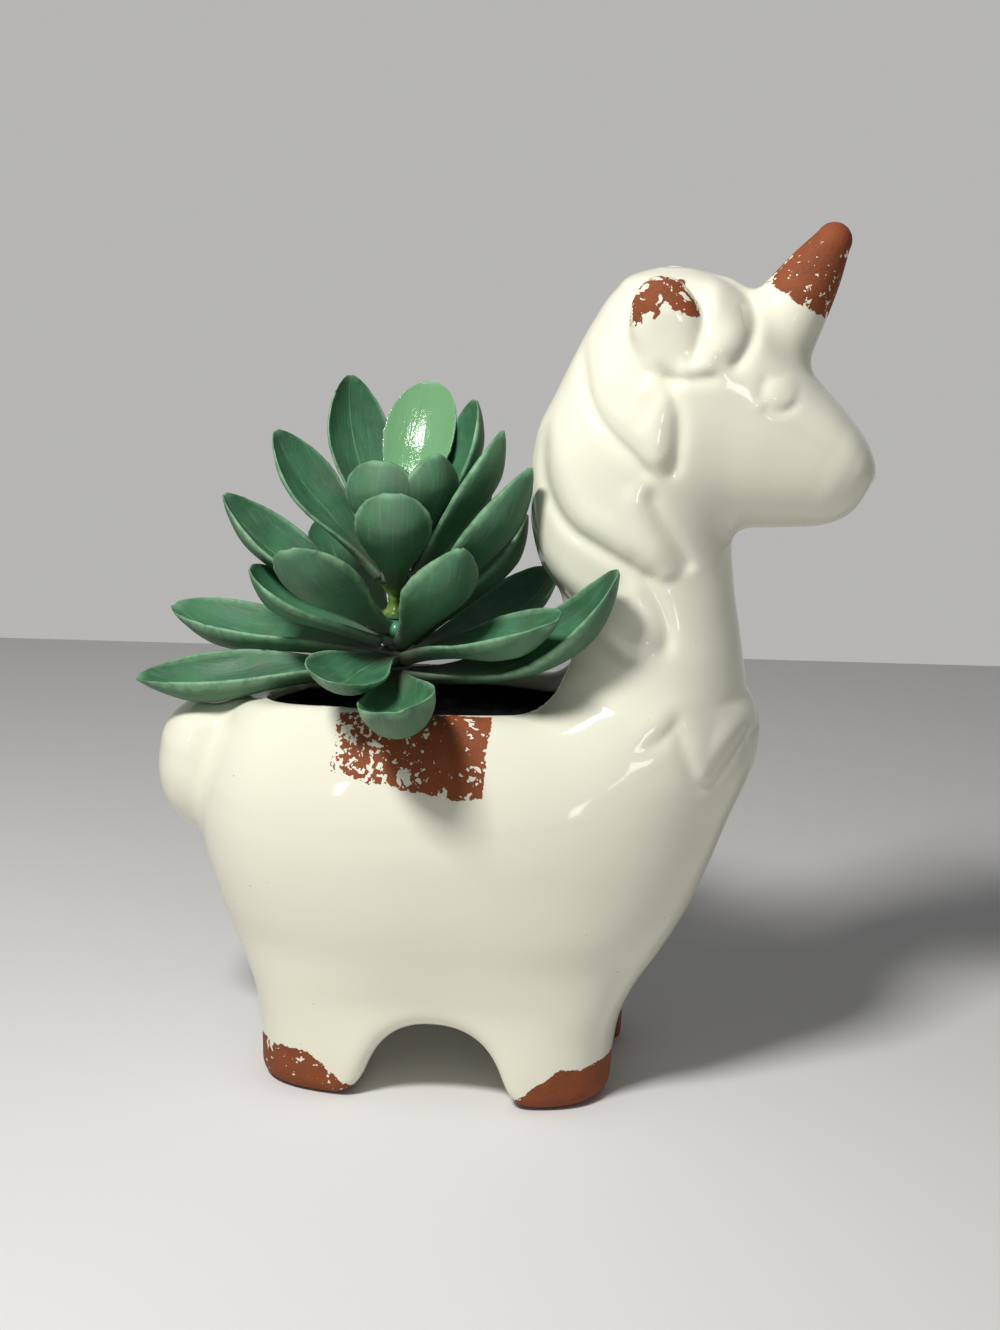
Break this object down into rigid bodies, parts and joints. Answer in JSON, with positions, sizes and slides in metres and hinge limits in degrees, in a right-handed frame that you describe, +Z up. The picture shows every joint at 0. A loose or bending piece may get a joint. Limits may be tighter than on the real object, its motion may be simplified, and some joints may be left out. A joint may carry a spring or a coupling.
{
  "type": "animal shaped planter",
  "caption": "Glazed ceramic unicorn planter with an open back, holding a moulded succulent on a stem pushed into black foam.",
  "frame": {"origin": "on the floor, under the middle of the whole outline of pot and plant", "axes": "+X from the tail towards the muzzle, +Y to the animal's left (away from the picture's camera), +Z up"},
  "size_m": [0.1725, 0.1182, 0.2059],
  "materials": {
    "glazed_shell": "gloss cream glaze, worn through to red clay at horn, ears, feet and back",
    "black_foam": "matte black dry foam",
    "stem_plastic": "satin yellow-green moulded plastic",
    "wire": "plain drawn wire",
    "leaf_plastic": "matte dusty green moulded plastic"
  },
  "bodies": {
    "pot": {"planter_shell": "glazed_shell", "foam_block": "black_foam"},
    "plant": {"plant_stem": "stem_plastic", "stem_wire": "wire", "leaf_whorl_1_lowest": "leaf_plastic", "leaf_whorl_2": "leaf_plastic", "leaf_whorl_3": "leaf_plastic", "leaf_whorl_4": "leaf_plastic", "leaf_whorl_5": "leaf_plastic", "leaf_whorl_6_top": "leaf_plastic"}
  },
  "joints": [
    {"name": "plant_lift", "type": "slide", "parent": "pot", "child": "plant", "axis": [-0.4067, 0, 0.9135], "range_m": [0, 0.05]}
  ]
}
